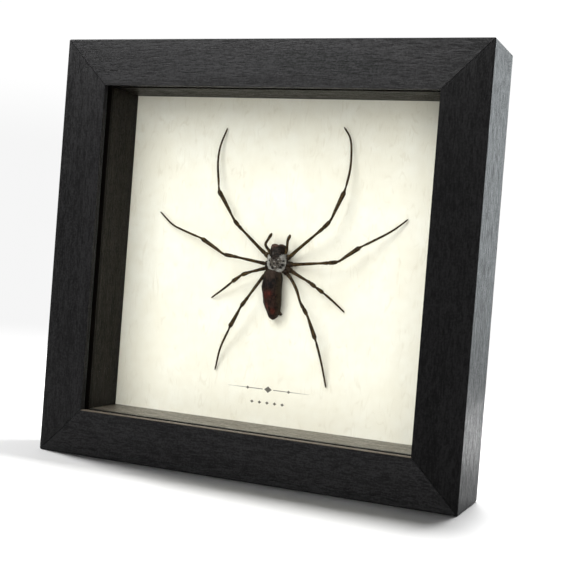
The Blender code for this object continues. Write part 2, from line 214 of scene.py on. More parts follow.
# The edge between silver and head is a V: where its point stands and how steep it is
HEAD_TIP_ACROSS = -0.6
HEAD_TIP_UP = 5.1
HEAD_SLOPE = 0.6

# The pale spot on the crown, the purple one on the abdomen's shoulder and the dark middle from
# which the legs start, partly dark horn and partly painted shade: across, up, half width and half
# height
CROWN = (-1.0, 7.9, 0.7, 1.1)
PURPLE_SPOT = (-2.8, -6.0, 2.6, 2.6)
LEG_ROOT_DARK_AND_SHADE = (0.5, 2.0, 10.5, 8.0)

# Red-brown patches on the abdomen, in the same way
RED_PATCHES = (
    (-3.0, -10.8, 2.3, 2.6), (-1.0, -10.3, 1.6, 2.0),
    (-2.6, -16.0, 1.3, 2.4), (0.2, -18.3, 1.6, 2.0),
)

# The small printed ornament low on the paper, in millimetres from the floor and the middle
ORNAMENT_ACROSS = 0.7
RULE_UP = 37.2
RULE_HALF_LENGTH = 20.5
RULE_HALF_WIDTH = 0.16
LOZENGE = (1.9, 1.5)
SMALL_LOZENGE = (0.9, 0.75)
LOWER_UP = 31.0
LOWER_STEP = 3.8

# Fibres of the paper lie at these angles, in degrees
FIBRE_ANGLES = (78, 98, 142)

# The sides of the frame with the axis along which their grain runs, and how light each rail is
# beside the top one: the left and right rails are darkened as painted shade
SIDES = (("top", 0), ("bottom", 0), ("left", 2), ("right", 2))
RAIL_PAINTED_SHADE = {"top": 1.0, "bottom": 1.0, "left": 0.85, "right": 0.5}
# The pattern of each rail, and of each spacer strip, is moved this much more than the last one
RAIL_SHIFT = 0.23
SPACER_SHIFT = 0.31

# The camera, fitted to the frame's edges: metres, degrees and millimetres of lens
CAMERA_PLACE = (0.1963, -0.4539, 0.0968)
CAMERA_YAW = 22.29
CAMERA_TILT_DOWN = 1.24
CAMERA_ROLL = 4.46
CAMERA_LENS = 69.563
CAMERA_SENSOR = 36.0

FLOOR_REACH = 0.4
FLOOR_BACK = 0.05


# Shader maths


class Wire:
    """One output of a node, which takes part in sums written in plain Python."""

    def __init__(self, paint, socket):
        self.paint = paint
        self.socket = socket

    def __add__(self, other):
        return self.paint.math("ADD", self, other)

    def __sub__(self, other):
        return self.paint.math("SUBTRACT", self, other)

    def __rsub__(self, other):
        return self.paint.math("SUBTRACT", other, self)

    def __mul__(self, other):
        return self.paint.math("MULTIPLY", self, other)

    def __truediv__(self, other):
        return self.paint.math("DIVIDE", self, other)

    __radd__ = __add__
    __rmul__ = __mul__

    def bigger(self, other):
        return self.paint.math("MAXIMUM", self, other)

    def size(self):
        return self.paint.math("ABSOLUTE", self)


class Paint:
    """The nodes of one material, or of the surroundings."""

    def __init__(self, owner):
        self.owner = owner
        owner.use_nodes = True
        self.nodes = owner.node_tree.nodes
        self.links = owner.node_tree.links

    def node(self, kind, settings=None, inputs=None, output=0):
        made = self.nodes.new(kind)
        for name, value in (settings or {}).items():
            setattr(made, name, value)
        for name, value in (inputs or {}).items():
            self.feed(made.inputs[name], value)
        return Wire(self, made.outputs[output])

    def feed(self, socket, value):
        if isinstance(value, Wire):
            self.links.new(value.socket, socket)
        elif socket.type == "RGBA":
            socket.default_value = (*value, 1.0)
        else:
            socket.default_value = value

    def math(self, operation, *values):
        return self.node("ShaderNodeMath", {"operation": operation}, dict(enumerate(values)))

    def vector(self, operation, *values, output=0):
        settings = {"operation": operation}
        return self.node("ShaderNodeVectorMath", settings, dict(enumerate(values)), output)

    def mix(self, part, low, high):
        settings = {"data_type": "RGBA"}
        return self.node("ShaderNodeMix", settings, {0: part, 6: low, 7: high}, output=2)

    def place(self):
        return self.node("ShaderNodeTexCoord", output="Object")

    def parts(self, vector):
        """The three numbers of a vector."""
        spread = self.node("ShaderNodeSeparateXYZ", None, {"Vector": vector})
        return [Wire(self, output) for output in spread.socket.node.outputs]

    def ease(self, value, start, end, low=0.0, high=1.0):
        """low up to start and high from end on, with a soft step between them."""
        settings = {"interpolation_type": "SMOOTHSTEP"}
        inputs = {"Value": value, "From Min": start, "From Max": end, "To Min": low, "To Max": high}
        return self.node("ShaderNodeMapRange", settings, inputs)

    def cloud(self, place, scale, detail=2.0, roughness=0.5, distortion=0.0):
        inputs = {"Vector": place, "Scale": scale, "Detail": detail, "Roughness": roughness,
                  "Distortion": distortion}
        return self.node("ShaderNodeTexNoise", None, inputs)

    def spot(self, place, centre, radii, soft):
        """1 in the middle of an oval blot and 0 outside it."""
        off = self.vector("SUBTRACT", place, centre)
        share = self.vector("DIVIDE", off, radii)
        far = self.vector("LENGTH", share, output="Value")
        return self.ease(far, 1.0, 1.0 - soft)

    def bump(self, height, strength, distance):
        inputs = {"Height": height, "Strength": strength, "Distance": distance}
        return self.node("ShaderNodeBump", None, inputs)


class Finish(Paint):
    """A material with one Principled shader."""

    def __init__(self, name, **constants):
        super().__init__(bpy.data.materials.new(name))
        self.shader = self.nodes["Principled BSDF"]
        for socket, value in constants.items():
            self.feed(self.shader.inputs[socket.replace("_", " ")], value)

    def wear(self, colour=None, roughness=None, normal=None):
        """Give the shader what changes over the surface, and hand back the material."""
        for socket, value in (("Base Color", colour), ("Roughness", roughness), ("Normal", normal)):
            if value is not None:
                self.feed(self.shader.inputs[socket], value)
        return self.owner


# Finishes


def shaded(colour, tone):
    return tuple(tone * part for part in colour)


def stained_wood(name, along, dark, light, gloss, shine, shift, painted_light_trim=None):
    """Stained fine-grained wood whose grain runs along axis 0, 1 or 2.

    gloss is its middle roughness. The last argument is an edge painted another colour, as painted
    shade
    or a painted highlight: its axis, where it begins and where it is full, and its colour.
    """
    paint = Finish(name, Specular_IOR_Level=shine)
    place = paint.place()
    moved = paint.vector("ADD", place, (shift, shift, shift))
    long_grain, short_grain = [1.0] * 3, [1.0] * 3
    long_grain[along] = 0.08
    short_grain[along] = 0.14
    long_grain = paint.vector("MULTIPLY", moved, tuple(long_grain))
    short_grain = paint.vector("MULTIPLY", moved, tuple(short_grain))
    broad = paint.cloud(long_grain, 220.0)
    streak = paint.cloud(short_grain, 2300.0, roughness=0.6)
    pore = paint.ease(paint.cloud(short_grain, 1700.0), 0.54, 0.66)
    speck = paint.cloud(moved, 1200.0, detail=3.0, roughness=0.6)
    mottle = paint.cloud(short_grain, 900.0, detail=3.0, roughness=0.65)
    tone = broad * 0.15 + streak * 0.4 + speck * 0.45
    colour = paint.mix(paint.ease(tone, 0.42, 0.58), dark, light)
    colour = paint.mix(pore * 0.6, colour, shaded(dark, 0.4))
    # An edge painted another colour: painted shade at the spacers' glass edge, a painted highlight on
    # the lip
    if painted_light_trim:
        axis, start, end, painted_light_colour = painted_light_trim
        reach = paint.parts(place)[axis]
        colour = paint.mix(paint.ease(reach, start, end), colour, painted_light_colour)
    rough = paint.ease(tone * 0.5 + mottle * 0.5, 0.42, 0.58, gloss + 0.12, gloss - 0.1)
    height = streak * 0.6 + speck * 0.5 - pore * 0.6 + mottle * 1.3
    return paint.wear(colour, rough, paint.bump(height, 0.6, 0.11 * MM))


def rail_wood(name, along, shift, tone, painted_light_trim=None):
    """Black stained wood with a low sheen. A tone below 1 darkens it and lowers its shine, as painted
    shade.
    """
    dark = shaded((0.0045, 0.0045, 0.0046), tone)
    light = shaded((0.0138, 0.0137, 0.0141), tone)
    return stained_wood(name, along, dark, light, 0.45, 0.08 * tone, shift, painted_light_trim)


def spacer_glass_shadow():
    """A painted shadow along the front edge of each spacer strip, nearly black at the glass."""
    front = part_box("spacer_bottom")[0].y
    return 1, front + 2.2 * MM, front + 1.4 * MM, (0.005, 0.004, 0.003)


def spacer_wood(name, along, shift):
    """Dark brown stained strips with hardly any shine."""
    dark, light = (0.009, 0.008, 0.0065), (0.023, 0.020, 0.016)
    return stained_wood(name, along, dark, light, 0.4, 0.04, shift, spacer_glass_shadow())


def lit_strip_wood(name, along, shift):
    """The bottom strip, which faces up, painted far lighter than the other strips as painted light."""
    # Far lighter colours than the other strips: painted light on its upward face
    dark, light = (0.080, 0.069, 0.055), (0.185, 0.163, 0.130)
    return stained_wood(name, along, dark, light, 0.4, 0.5, shift, spacer_glass_shadow())


def lip_highlight():
    """The upper face of the bottom rail's lip, with a painted pale-brown highlight."""
    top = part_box("rail_bottom")[1].z
    return 2, top - 0.35 * MM, top - 0.1 * MM, (0.095, 0.080, 0.062)


def clear_glass():
    """Coated picture glass: it reflects only when it is seen at a low angle."""
    material = bpy.data.materials.new("picture_glass")
    paint = Paint(material)
    paint.nodes.remove(paint.nodes["Principled BSDF"])
    smudge = paint.cloud(paint.place(), 45.0, detail=3.0)
    rough = paint.ease(smudge, 0.4, 0.75, 0.0, 0.02)
    faint_green, white = (0.985, 0.99, 0.985), (1.0, 1.0, 1.0)
    through = paint.node("ShaderNodeBsdfTransparent", None, {"Color": faint_green})
    shine = paint.node("ShaderNodeBsdfGlossy", None, {"Color": white, "Roughness": rough})
    edge = paint.node("ShaderNodeLayerWeight", None, {"Blend": 0.5}, output="Facing")
    low_angle = paint.math("POWER", edge, 4.0)
    both = paint.node("ShaderNodeMixShader", None, {0: low_angle, 1: through, 2: shine})
    paint.feed(paint.nodes["Material Output"].inputs["Surface"], both)
    return material


def lozenge(paint, across, up, middle, half_width, half_height):
    """1 inside a lozenge that stands on its point."""
    reach = (across - middle[0]).size() / half_width + (up - middle[1]).size() / half_height
    return paint.ease(reach, 1.08, 0.92)


def ornament(paint, across, up):
    """A ruled line with lozenges, and a short row of lozenges under it."""
    from_middle = (across - ORNAMENT_ACROSS).size()
    taper = paint.ease(from_middle, RULE_HALF_LENGTH, RULE_HALF_LENGTH * 0.3, 0.25, 1.0)
    line = paint.ease((up - RULE_UP).size() / taper, RULE_HALF_WIDTH * 1.5, RULE_HALF_WIDTH * 0.6)
    inside = paint.ease(from_middle, RULE_HALF_LENGTH, RULE_HALF_LENGTH - 0.3)
    clear = paint.ease(from_middle, LOZENGE[0] + 0.6, LOZENGE[0] + 0.9)
    ink = line * inside * clear
    ink = ink.bigger(lozenge(paint, across, up, (ORNAMENT_ACROSS, RULE_UP), *LOZENGE))
    for side in (-1, 1):
        middle = (ORNAMENT_ACROSS + side * RULE_HALF_LENGTH * 0.5, RULE_UP)
        ink = ink.bigger(lozenge(paint, across, up, middle, *SMALL_LOZENGE))
    for number in range(-2, 3):
        middle = (ORNAMENT_ACROSS + number * LOWER_STEP, LOWER_UP)
        ink = ink.bigger(lozenge(paint, across, up, middle, *SMALL_LOZENGE))
    return ink


def handmade_paper():
    """Cream handmade paper with long soft fibres, and a small ornament in ink."""
    paint = Finish("handmade_paper", Roughness=0.9, Specular_IOR_Level=0.2)
    cream, pale_cream = (0.87, 0.835, 0.715), (0.90, 0.875, 0.77)
    straw, fibre_tan = (0.80, 0.75, 0.62), (0.74, 0.69, 0.56)
    brown_ink = (0.055, 0.048, 0.04)
    place = paint.place()
    pulp = paint.cloud(place, 220.0, detail=4.0, roughness=0.6)
    blotch = paint.cloud(place, 45.0)
    colour = paint.mix(paint.ease(blotch, 0.35, 0.65), cream, pale_cream)
    colour = paint.mix(paint.ease(pulp, 0.3, 0.7, 0.0, 0.35), colour, straw)
    height = pulp
    for angle in FIBRE_ANGLES:
        turned = paint.node("ShaderNodeMapping", None, {
            "Vector": place, "Rotation": (0.0, math.radians(angle), 0.0), "Scale": (1.0, 1.0, 0.22)})
        wave = paint.cloud(turned, 190.0, detail=1.0, distortion=0.7)
        fibre = paint.ease((wave - 0.5).size(), 0.016, 0.004)
        broken = paint.ease(paint.cloud(place, 95.0 + angle, detail=0.0), 0.5, 0.62)
        fibre = fibre * broken
        colour = paint.mix(fibre * 0.4, colour, fibre_tan)
        height = height + fibre * 0.5
    across, _, up = paint.parts(place)
    ink = ornament(paint, across / MM, up / MM) * paint.ease(pulp, 0.25, 0.4, 0.75, 1.0)
    colour = paint.mix(ink * 0.88, colour, brown_ink)
    return paint.wear(colour, None, paint.bump(height, 0.35, 0.12 * MM))


def fibre_board():
    """The smooth brown side of pressed fibre board."""
    paint = Finish("fibre_board", Roughness=0.7)
    dark_brown, tan, brown = (0.17, 0.10, 0.055), (0.34, 0.22, 0.13), (0.24, 0.15, 0.085)
    place = paint.place()
    fleck = paint.cloud(place, 1800.0, detail=3.0, roughness=0.7)
    blotch = paint.cloud(place, 60.0)
    colour = paint.mix(paint.ease(fleck, 0.35, 0.65), dark_brown, tan)
    colour = paint.mix(paint.ease(blotch, 0.35, 0.7, 0.0, 0.4), colour, brown)
    return paint.wear(colour, paint.ease(fleck, 0.3, 0.7, 0.6, 0.8), paint.bump(fleck, 0.3, 0.05 * MM))


def plated_steel():
    """Bright plated steel with fine drawn lines and a few dull stains."""
    paint = Finish("plated_steel", Metallic=1.0)
    bright, dull = (0.56, 0.56, 0.57), (0.42, 0.41, 0.39)
    place = paint.place()
    drawn = paint.cloud(paint.vector("MULTIPLY", place, (0.08, 1.0, 1.0)), 3500.0)
    stain = paint.cloud(place, 300.0, detail=3.0)
    colour = paint.mix(paint.ease(stain, 0.4, 0.7), bright, dull)
    rough = paint.ease(drawn * 0.5 + stain * 0.5, 0.3, 0.7, 0.25, 0.48)
    return paint.wear(colour, rough, paint.bump(drawn, 0.12, 0.02 * MM))


def spider_place(paint):
    """A point in millimetres from the spider's waist, with its parts across and up."""
    shift = (WAIST_ACROSS, 0.0, MIDDLE_Z + WAIST_UP)
    from_waist = paint.vector("SUBTRACT", paint.place(), shift)
    point = paint.vector("DIVIDE", from_waist, (MM, MM, MM))
    across, _, up = paint.parts(point)
    return point, across, up


def flat_spot(paint, point, across, up, wide, tall, soft):
    """A blot on the back of the animal, through its whole thickness."""
    return paint.spot(point, (across, 0.0, up), (wide, THROUGH, tall), soft)


def silver_skin(paint, point, fuzz):
    """Silver down, bright at the rim and dull in the middle, with its dark spots."""
    shade, dull_silver = (0.014, 0.011, 0.009), (0.15, 0.13, 0.11)
    grey, silver_white = (0.14, 0.13, 0.12), (0.48, 0.46, 0.42)
    spot_black, notch_brown = (0.006, 0.006, 0.005), (0.008, 0.005, 0.0045)
    off = paint.vector("DIVIDE", paint.vector("SUBTRACT", point, RIM_MIDDLE), RIM_REACH)
    rim = paint.ease(paint.vector("LENGTH", off, output="Value") + (fuzz - 0.5) * 0.3, 0.6, 0.85)
    middle = paint.mix(paint.ease(fuzz, 0.42, 0.62), shade, dull_silver)
    bright = paint.mix(paint.ease(fuzz, 0.38, 0.6), grey, silver_white)
    colour = paint.mix(rim, middle, bright)
    for across, up, radius in DARK_SPOTS:
        spot = flat_spot(paint, point, across, up, 1.25 * radius, 1.25 * radius, 0.7)
        colour = paint.mix(spot, colour, spot_black)
    notch = flat_spot(paint, point, *HIND_NOTCH, 0.5)
    return paint.mix(notch, colour, notch_brown)


def head_skin(paint, point, across, up):
    """The dark head, red-brown in front, with a pale spot on its crown."""
    near_black, dark_brown = (0.0008, 0.0007, 0.0007), (0.024, 0.016, 0.012)
    red_brown, ash = (0.075, 0.034, 0.024), (0.090, 0.082, 0.078)
    coarse = paint.cloud(point, 1.5, detail=3.0, roughness=0.65)
    colour = paint.mix(paint.ease(coarse, 0.45, 0.58), near_black, dark_brown)
    front = paint.ease(up - across * 0.3 + (coarse - 0.5) * 6.0, 10.4, 12.0)
    colour = paint.mix(front * 0.85, colour, red_brown)
    crown = flat_spot(paint, point, *CROWN, 0.9)
    return paint.mix(crown * 0.7, colour, ash)


def carapace_skin():
    """Silver down on the hind part and a dark head, which meet in a ragged V."""
    paint = Finish("carapace_skin", Specular_IOR_Level=0.12)
    point, across, up = spider_place(paint)
    stretched = paint.vector("MULTIPLY", point, (1.0, 1.0, 0.5))
    fuzz = paint.cloud(stretched, 5.0, detail=3.0, roughness=0.7)
    ragged = (fuzz - 0.5) * 2.0
    edge = ((across - HEAD_TIP_ACROSS).size() * HEAD_SLOPE + HEAD_TIP_UP) - up + ragged
    silver = paint.ease(edge, -0.2, 0.8)
    head_colour = head_skin(paint, point, across, up)
    colour = paint.mix(silver, head_colour, silver_skin(paint, point, fuzz))
    rough = paint.ease(silver, 0.0, 1.0, 0.5, 0.8)
    return paint.wear(colour, rough, paint.bump(fuzz, 0.5, 0.15 * MM))


def abdomen_skin():
    """Dry, dark, wrinkled skin with red-brown patches, lighter at the front."""
    paint = Finish("abdomen_skin", Specular_IOR_Level=0.1)
    near_black, dark_brown = (0.0004, 0.0003, 0.0004), (0.024, 0.014, 0.010)
    rust, pale_brown = (0.050, 0.016, 0.009), (0.060, 0.040, 0.030)
    olive, purple, dark_red = (0.034, 0.025, 0.012), (0.014, 0.010, 0.015), (0.095, 0.016, 0.010)

    point, across, up = spider_place(paint)
    stretched = paint.vector("MULTIPLY", point, (1.0, 1.0, 0.7))
    fold = paint.cloud(stretched, 0.75, detail=4.0, roughness=0.7)
    fine = paint.cloud(point, 2.6, detail=3.0, roughness=0.7)
    colour = paint.mix(paint.ease(fold, 0.47, 0.56), near_black, dark_brown)
    hind = paint.ease(up + (fold - 0.5) * 4.0, -7.5, -10.0)
    speckle = paint.ease(fine, 0.5, 0.58) * hind
    colour = paint.mix(speckle * 0.7, colour, rust)
    front = paint.ease(up + (fold - 0.5) * 7.0, -4.5, -0.5) * paint.ease(fine, 0.42, 0.58, 0.2, 1.0)
    colour = paint.mix(front * 0.8, colour, pale_brown)
    flank = paint.ease(across + (fold - 0.5) * 5.0, 1.2, 2.6)
    flank = flank * paint.ease(fine, 0.42, 0.55, 0.3, 1.0)
    colour = paint.mix(flank * 0.75, colour, olive)
    shoulder = flat_spot(paint, point, *PURPLE_SPOT, 0.8) * paint.ease(fine, 0.4, 0.6)
    colour = paint.mix(shoulder * 0.6, colour, purple)
    for patch in RED_PATCHES:
        red = flat_spot(paint, point, *patch, 1.0) * paint.ease(fine, 0.38, 0.54)
        colour = paint.mix(red, colour, dark_red)
    rough = paint.ease(fold, 0.3, 0.7, 0.4, 0.65)
    return paint.wear(colour, rough, paint.bump(fold + fine * 0.4, 1.0, 0.6 * MM))


def leg_skin():
    """Olive-brown horn with a low shine, darker close to the body: partly darker horn, partly painted
    shade.
    """
    paint = Finish("leg_skin", Specular_IOR_Level=0.1)
    dark_brown, olive, near_black = (0.010, 0.006, 0.003), (0.062, 0.038, 0.013), (0.007, 0.004, 0.003)
    point = spider_place(paint)[0]
    mottle = paint.cloud(point, 1.2, detail=3.0, roughness=0.6)
    fine = paint.cloud(point, 8.0)
    colour = paint.mix(paint.ease(mottle, 0.4, 0.6), dark_brown, olive)
    # Near the body: the darker horn of the coxae, and painted shade where the legs meet the body
    near = flat_spot(paint, point, *LEG_ROOT_DARK_AND_SHADE, 0.6)
    colour = paint.mix(near * 0.85, colour, near_black)
    rough = paint.ease(fine, 0.3, 0.7, 0.4, 0.58)
    return paint.wear(colour, rough, paint.bump(fine, 0.25, 0.05 * MM))


def bristle_skin(name, dark, light):
    """The horn of fine hairs, darker in some places and lighter in others."""
    paint = Finish(name, Roughness=0.5)
    point = spider_place(paint)[0]
    change = paint.cloud(point, 2.0)
    return paint.wear(paint.mix(paint.ease(change, 0.35, 0.65), dark, light))


def dress_frame():
    """Give each solid of the frame its finish."""
    finishes = {
        "glass": clear_glass(),
        "paper_panel": handmade_paper(),
        "back_board": fibre_board(),
    }
    for number, (side, along) in enumerate(SIDES, start=1):
        painted_light_trim = lip_highlight() if side == "bottom" else None
        shift = RAIL_SHIFT * number
        finishes[f"rail_{side}"] = rail_wood(f"rail_wood_{side}", along, shift, RAIL_PAINTED_SHADE[side], painted_light_trim)
        strip = lit_strip_wood if side == "bottom" else spacer_wood
        finishes[f"spacer_{side}"] = strip(f"spacer_wood_{side}", along, SPACER_SHIFT * number)
    steel = plated_steel()
    for name in nodes:
        if name.startswith("point") or name == "hanger":
            finishes[name] = steel
    for name, finish in finishes.items():
        for slot in nodes[name].material_slots:
            slot.material = finish


# Shapes


def on_paper(across, up, lift):
    """A point over the paper, in millimetres from the spider's waist."""
    return Vector((
        WAIST_ACROSS + across * MM,
        PAPER_Y - lift * MM,
        MIDDLE_Z + WAIST_UP + up * MM,
    ))


def gather(whole, part):
    """Move the small bmesh part into the bmesh whole."""
    carried = bpy.data.meshes.new("carried")
    part.to_mesh(carried)
    part.free()
    whole.from_mesh(carried)
    bpy.data.meshes.remove(carried)


def new_piece(name, bm, material):
    """A finished piece of the object that stands at its place in its own mesh."""
    bmesh.ops.recalc_face_normals(bm, faces=bm.faces)
    mesh = bpy.data.meshes.new(name)
    bm.to_mesh(mesh)
    bm.free()
    mesh.materials.append(material)
    mesh.shade_smooth()
    made = bpy.data.objects.new(name, mesh)
    bpy.context.collection.objects.link(made)
    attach(made, "root")
    return made


def glide(start, start_pull, end, end_pull, t):
    """The point at part t of the smooth curve that leaves start and reaches end by their pulls."""
    return (
        start * (2 * t**3 - 3 * t**2 + 1) + start_pull * (t**3 - 2 * t**2 + t)
        + end * (3 * t**2 - 2 * t**3) + end_pull * (t**3 - t**2)
    )


def smooth_stations(stations, step):
    """More stations, about a step apart, on the smooth curve through the given ones."""
    rows = [Vector((*centre, wide, thick)) for centre, wide, thick in stations]
    gaps = [(b - a).length for a, b in zip(rows, rows[1:])]
    slopes = [(b - a) / gap for a, b, gap in zip(rows, rows[1:], gaps)]
    pulls = [slopes[0]]
    for before, after, near, far in zip(slopes, slopes[1:], gaps, gaps[1:]):
        pulls.append((before * far + after * near) / (near + far))
    pulls.append(slopes[-1])
    finer = []
    for a, b, pull_a, pull_b, gap in zip(rows, rows[1:], pulls, pulls[1:], gaps):
        parts = max(1, round(gap / step))
        for part in range(parts):
            row = glide(a, pull_a * gap, b, pull_b * gap, part / parts)
            finer.append((Vector(row[:3]), row[3], row[4]))
    finer.append(stations[-1])
    return finer


def section_places(stations):
    """One matrix for each (centre, half width, half thickness), square to the way along."""
    away = Vector((0, -1, 0))
    places = []
    for number, (centre, half_width, half_thick) in enumerate(stations):
        before = stations[max(number - 1, 0)][0]
        after = stations[min(number + 1, len(stations) - 1)][0]
        along = (after - before).normalized()
        wide = along.cross(away).normalized()
        thick = wide.cross(along)
        turn = Matrix((wide, thick, along)).transposed().to_4x4()
        size = Matrix.Diagonal((half_width, half_thick, 1, 1))
        places.append(Matrix.Translation(centre) @ turn @ size)
    return places


def sweep(whole, stations, sides):
    """Add to whole an oval section carried through the stations, closed at both ends."""
    places = section_places(stations)
    bm = bmesh.new()
    ring = bmesh.ops.create_circle(bm, cap_ends=True, segments=sides, radius=1.0, matrix=places[0])
    end = ring["verts"][0].link_faces[0]
    inner = []
    for before, after in zip(places, places[1:]):
        grown = bmesh.ops.extrude_face_region(bm, geom=[end])["geom"]
        verts = [g for g in grown if isinstance(g, bmesh.types.BMVert)]
        bmesh.ops.transform(bm, matrix=after @ before.inverted(), verts=verts)
        end = next(g for g in grown if isinstance(g, bmesh.types.BMFace))
        inner.append(end)
    bmesh.ops.delete(bm, geom=inner[:-1], context="FACES_ONLY")
    gather(whole, bm)


def body_stations(rows, side=1):
    """Sections of a body piece, or of its mirror image where side is -1."""
    stations = [
        (on_paper(side * across, up, lift), wide * MM, thick * MM)
        for up, across, lift, wide, thick in rows
    ]
    return smooth_stations(stations, BODY_STEP)


def walk(start, moves):
    """The points reached from start by moves of a length and a heading in degrees."""
    points = [Vector(start)]
    for length, heading in moves:
        turn = math.radians(heading)
        points.append(points[-1] + length * Vector((math.cos(turn), math.sin(turn))))
    return points


def along_curve(points, part):
    """A point on the smooth curve through points, at a part of its length."""
    gaps = [(b - a).length for a, b in zip(points, points[1:])]
    far = part * sum(gaps)
    number = 0
    while number < len(gaps) - 1 and far > gaps[number]:
        far -= gaps[number]
        number += 1
    a, b = points[number], points[number + 1]
    before = points[number - 1] if number else 2 * a - b
    after = points[number + 2] if number + 2 < len(points) else 2 * b - a
    return glide(a, (b - before) / 2, b, (after - a) / 2, far / gaps[number])


def leg_stations(leg):
    """Sections from inside the body, out over the knee and down to the tip of the foot."""
    hip = Vector(leg.hip)
    coxa = [COXA_INSET * hip + Vector((0, COXA_UP)), hip]
    thigh = walk(leg.hip, leg.thigh)
    knee = walk(thigh[-1], [leg.knee])
    shin = walk(knee[-1], [leg.shin])
    foot = walk(shin[-1], leg.foot)
    shin_end = leg.knee_lift - SHIN_DROP
    pieces = (
        (coxa, COXA_RADII, HIP_LIFT, HIP_LIFT),
        (thigh, THIGH_RADII, HIP_LIFT, leg.knee_lift),
        (knee, KNEE_RADII, leg.knee_lift, leg.knee_lift),
        (shin, SHIN_RADII, leg.knee_lift, shin_end),
        (foot, FOOT_RADII, shin_end, TIP_LIFT),
    )
    stations = []
    joints = []
    for points, radii, lift_from, lift_to in pieces:
        joints.append(on_paper(points[0].x, points[0].y, lift_from))
        for part, radius in radii:
            spot = along_curve(points, part)
            lift = lift_from + (lift_to - lift_from) * part**LIFT_EASE
            stations.append((on_paper(spot.x, spot.y, lift), radius * MM, radius * MM))
    pinched = []
    for centre, wide, thick in smooth_stations(stations, LEG_STEP):
        near = min((centre - joint).length for joint in joints[1:])
        keep = 1 - JOINT_PINCH * math.exp(-((near / JOINT_LENGTH) ** 2))
        pinched.append((centre, wide * keep, thick * keep))
    return pinched


def shrivel(bm, depth, across, along, start):
    """Sink and raise the skin in long folds."""
    bm.normal_update()
    for vert in bm.verts:
        x, y, z = vert.co
        spot = Vector((x / across, y / across, z / along + start))
        vert.co += vert.normal * depth * noise.noise(spot)


def abdomen(material):
    """The folded abdomen with its spinnerets."""
    bm = bmesh.new()
    sweep(bm, body_stations(ABDOMEN), BODY_SIDES)
    shrivel(bm, *ABDOMEN_FOLDS)
    shrivel(bm, *ABDOMEN_CREASES)
    sweep(bm, body_stations(SPINNERETS), JAW_SIDES)
    return new_piece("spider_abdomen", bm, material)


def head(material):
    """The carapace with its head, jaws, fangs and eyes."""
    bm = bmesh.new()
    sweep(bm, body_stations(CARAPACE), BODY_SIDES)
    shrivel(bm, *CARAPACE_FOLDS)
    for side in (-1, 1):
        sweep(bm, body_stations(JAW, side), JAW_SIDES)
        sweep(bm, body_stations(FANG, side), FANG_SIDES)
        for up, across, lift, radius in EYES:
            place = Matrix.Translation(on_paper(side * across, up, lift))
            bmesh.ops.create_uvsphere(
                bm, u_segments=EYE_SEGMENTS, v_segments=EYE_RINGS, radius=radius * MM, matrix=place
            )
    return new_piece("spider_head", bm, material)


def limbs(material):
    """Eight legs and the two feelers, and their stations, on which the bristles stand."""
    bm = bmesh.new()
    rows = [leg_stations(leg) for leg in LEGS]
    for palp in PALPS:
        stations = [(on_paper(across, up, lift), r * MM, r * MM) for up, across, lift, r in palp]
        rows.append(smooth_stations(stations, LEG_STEP))
    for stations in rows:
        sweep(bm, stations, LEG_SIDES)
    return new_piece("spider_legs", bm, material), rows


def hair(bm, root, way, length, radius):
    """One thin three-sided hair that stands at root and points along way."""
    turn = way.to_track_quat("Z", "Y").to_matrix().to_4x4()
    place = Matrix.Translation(root + way * length / 2) @ turn
    bmesh.ops.create_cone(
        bm, cap_ends=True, segments=3, radius1=radius, radius2=0.0, depth=length, matrix=place
    )


def bristles(rows, material):
    """Short stiff hairs that lean along the legs and feelers."""
    bm = bmesh.new()
    for stations in rows:
        for place in section_places(stations)[BARE_STATIONS:]:
            ring = bmesh.new()
            for _ in range(BRISTLES_A_RING):
                turn = random.uniform(0, math.tau)
                out = place.to_3x3() @ Vector((math.cos(turn), math.sin(turn), 0))
                along = place.to_3x3().col[2].normalized()
                way = (out.normalized() * 0.6 + along * random.uniform(0.6, 1.0)).normalized()
                root = place.translation + out * 0.95
                hair(ring, root, way, random.uniform(*BRISTLE_LENGTH) * MM, BRISTLE_RADIUS)
            gather(bm, ring)
    bmesh.ops.remove_doubles(bm, verts=bm.verts, dist=SAME_POINT)
    return new_piece("spider_bristles", bm, material)


def from_waist(point):
    """Millimetres across and up from the spider's waist."""
    return (point.x - WAIST_ACROSS) / MM, (point.z - MIDDLE_Z - WAIST_UP) / MM


def is_silver(across, up):
    """True where a hair of the silver down may stand."""
    if up > HEAD_TIP_UP + HEAD_SLOPE * abs(across - HEAD_TIP_ACROSS):
        return False
    for x, z, radius in DARK_SPOTS:
        root = math.hypot(across - x, up - z)
        tip = math.hypot(across - x, up + DOWN_LEAN - z)
        if min(root, tip) < radius:
            return False
    x, z, wide, tall = HIND_NOTCH
    if math.hypot((across - x) / wide, (up - z) / tall) < 1:
        return False
    rim = math.hypot((across - RIM_MIDDLE[0]) / RIM_REACH[0], (up - RIM_MIDDLE[2]) / RIM_REACH[2])
    return random.random() < (1.0 if rim > RIM_START else INNER_SHARE)


def down(body, material):
    """Short silver hairs that lie back over the hind part of the carapace."""
    bm = bmesh.new()
    # The operators leave the faces in another order each run, so they are sorted by their place
    by_place = sorted(body.data.polygons, key=lambda p: tuple(p.center))
    faces = [p for p in by_place if p.normal.y < 0.3 and is_silver(*from_waist(p.center))]
    areas = [p.area for p in faces]
    for _ in range(DOWN_COUNT // DOWN_TUFT):
        tuft = bmesh.new()
        for face in random.choices(faces, areas, k=DOWN_TUFT):
            lean = Vector((random.uniform(-0.5, 0.5), 0, random.uniform(0.5, 1.0)))
            way = (face.normal * 0.35 + lean).normalized()
            hair(tuft, face.center, way, random.uniform(*DOWN_LENGTH) * MM, DOWN_RADIUS)
        gather(bm, tuft)
    bmesh.ops.remove_doubles(bm, verts=bm.verts, dist=SAME_POINT)
    return new_piece("spider_down", bm, material)


